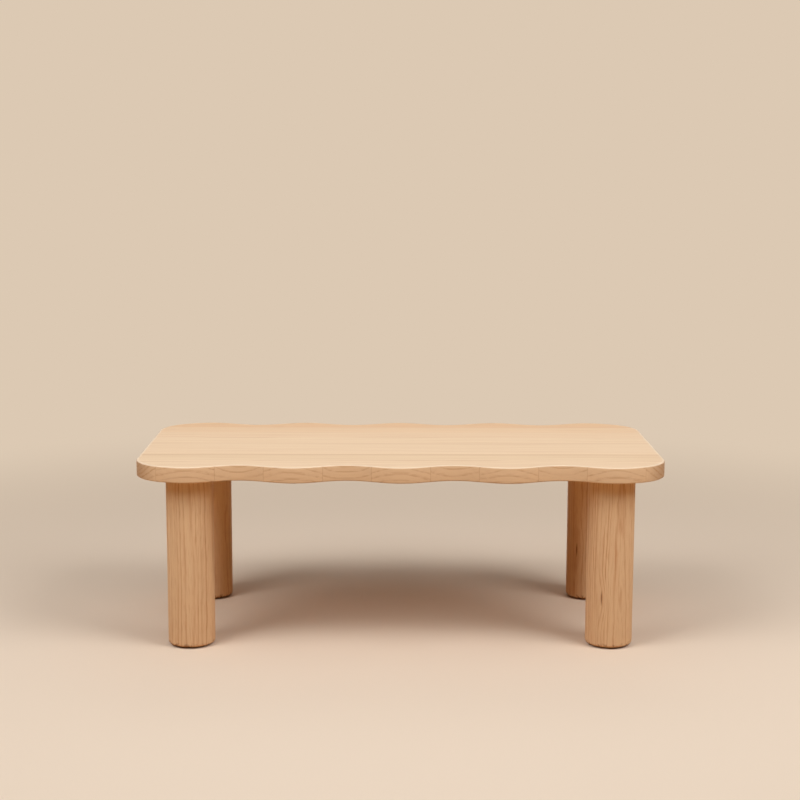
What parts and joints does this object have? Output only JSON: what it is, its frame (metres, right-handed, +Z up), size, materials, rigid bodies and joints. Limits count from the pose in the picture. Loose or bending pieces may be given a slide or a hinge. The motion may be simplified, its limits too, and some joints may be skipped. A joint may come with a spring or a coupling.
{
  "type": "coffee table",
  "caption": "Low rectangular coffee table in pale solid wood: a glued-stave top with wavy long edges and rounded corners on thick round upright legs with felt glides.",
  "frame": {"origin": "on the floor, below the middle of the top", "axes": "+X along the table's length, +Y from its front to its back, +Z up"},
  "size_m": [1.2, 0.6, 0.43],
  "materials": {
    "top_wood": "matt clear finish on pale planed wood",
    "leg_wood": "matt clear finish on pale turned wood",
    "felt": "dark pressed felt",
    "zinc_steel": "zinc plated",
    "brass": "plain turned brass"
  },
  "bodies": {
    "root": {"top_stave_1": "top_wood", "top_stave_2": "top_wood", "top_stave_3": "top_wood", "top_stave_4": "top_wood", "top_stave_5": "top_wood", "top_stave_6": "top_wood", "top_stave_7": "top_wood", "top_stave_8": "top_wood", "front_lobe_1": "top_wood", "front_lobe_2": "top_wood", "front_lobe_3": "top_wood", "front_lobe_4": "top_wood", "front_lobe_5": "top_wood", "leg_front_left": "leg_wood", "leg_front_right": "leg_wood", "leg_back_left": "leg_wood", "leg_back_right": "leg_wood", "felt_glide_front_left": "felt", "felt_glide_front_right": "felt", "felt_glide_back_left": "felt", "felt_glide_back_right": "felt", "hanger_bolt_front_left": "zinc_steel", "hanger_bolt_front_right": "zinc_steel", "hanger_bolt_back_left": "zinc_steel", "hanger_bolt_back_right": "zinc_steel", "threaded_insert_front_left": "brass", "threaded_insert_front_right": "brass", "threaded_insert_back_left": "brass", "threaded_insert_back_right": "brass"}
  },
  "joints": []
}
